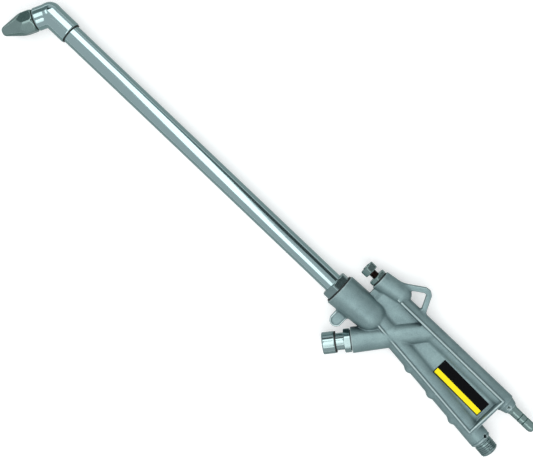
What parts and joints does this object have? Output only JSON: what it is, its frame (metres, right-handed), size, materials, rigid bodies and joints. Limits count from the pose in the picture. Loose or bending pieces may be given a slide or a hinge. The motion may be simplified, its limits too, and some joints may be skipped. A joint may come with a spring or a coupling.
{
  "type": "siphon engine-cleaning air gun",
  "caption": "Cast-handled siphon air gun with a long wand, bent hexagonal nozzle, push-button air valve, fluid needle valve, pipe-thread air inlet and hose tail.",
  "frame": {"origin": "centre of the air inlet thread's outer end", "axes": "+X along the wand towards the nozzle, +Y towards the finger side of the handle, +Z out of the labelled side"},
  "size_m": [0.4567, 0.083, 0.0244],
  "materials": {
    "casting": "satin, as cast and tumbled",
    "chrome_tube": "polished plating",
    "bright_chrome": "bright plating",
    "dull_steel": "dull turned steel",
    "dark_steel": "dark blued steel",
    "browned_steel": "oily browned thread",
    "brass": "turned",
    "black_rubber": "moulded",
    "white_packing": "pressed fluoroplastic"
  },
  "bodies": {
    "gun": {"body_casting": "casting", "gland_nut": "dark_steel", "gland_gasket": "black_rubber", "gland_washer": "dull_steel", "gland_packing": "black_rubber", "air_jet": "brass", "valve_collar": "bright_chrome", "collar_gasket": "black_rubber", "stem_seal": "black_rubber", "valve_seat": "brass", "packing_nut": "dull_steel", "packing_gasket": "black_rubber", "packing_washer": "dull_steel", "needle_packing": "white_packing", "inlet_nipple": "dark_steel", "hose_tail": "dull_steel", "lock_screws": "dark_steel"},
    "wand": {"wand_tube": "chrome_tube", "wand_ferrule": "brass", "elbow": "chrome_tube", "elbow_seam_ring": "black_rubber", "nozzle": "dull_steel", "nozzle_gasket": "black_rubber"},
    "button": {"push_button": "bright_chrome", "button_bumper": "black_rubber", "valve_stem": "dull_steel", "valve_disc": "brass", "disc_facing": "black_rubber", "disc_nut": "dull_steel", "return_spring": "dull_steel"},
    "needle": {"needle_stem": "browned_steel"},
    "knob": {"needle_knob": "dull_steel", "knob_screw": "dull_steel"}
  },
  "joints": [
    {"name": "button_press", "type": "slide", "parent": "gun", "child": "button", "axis": [-0.6225, -0.7826, 0], "range_m": [0, 0.0045], "stiffness_N_per_m": 800, "springref_m": -0.006, "deforming": ["return_spring"]},
    {"name": "wand_swivel", "type": "hinge", "parent": "gun", "child": "wand", "pos_m": [0.15314, -0.00942, 0], "axis": [1, 0, 0], "continuous": true},
    {"name": "needle_feed", "type": "slide", "parent": "gun", "child": "needle", "axis": [1, 0, 0], "range_m": [-0.0024, 0]},
    {"name": "knob_turn", "type": "hinge", "parent": "needle", "child": "knob", "pos_m": [0.14544, -0.03352, 0], "axis": [1, 0, 0], "range_deg": [-1080, 0]}
  ],
  "couplings": [
    {"joint": "knob_turn", "follows": "needle_feed", "rad_per_m": 7854}
  ]
}
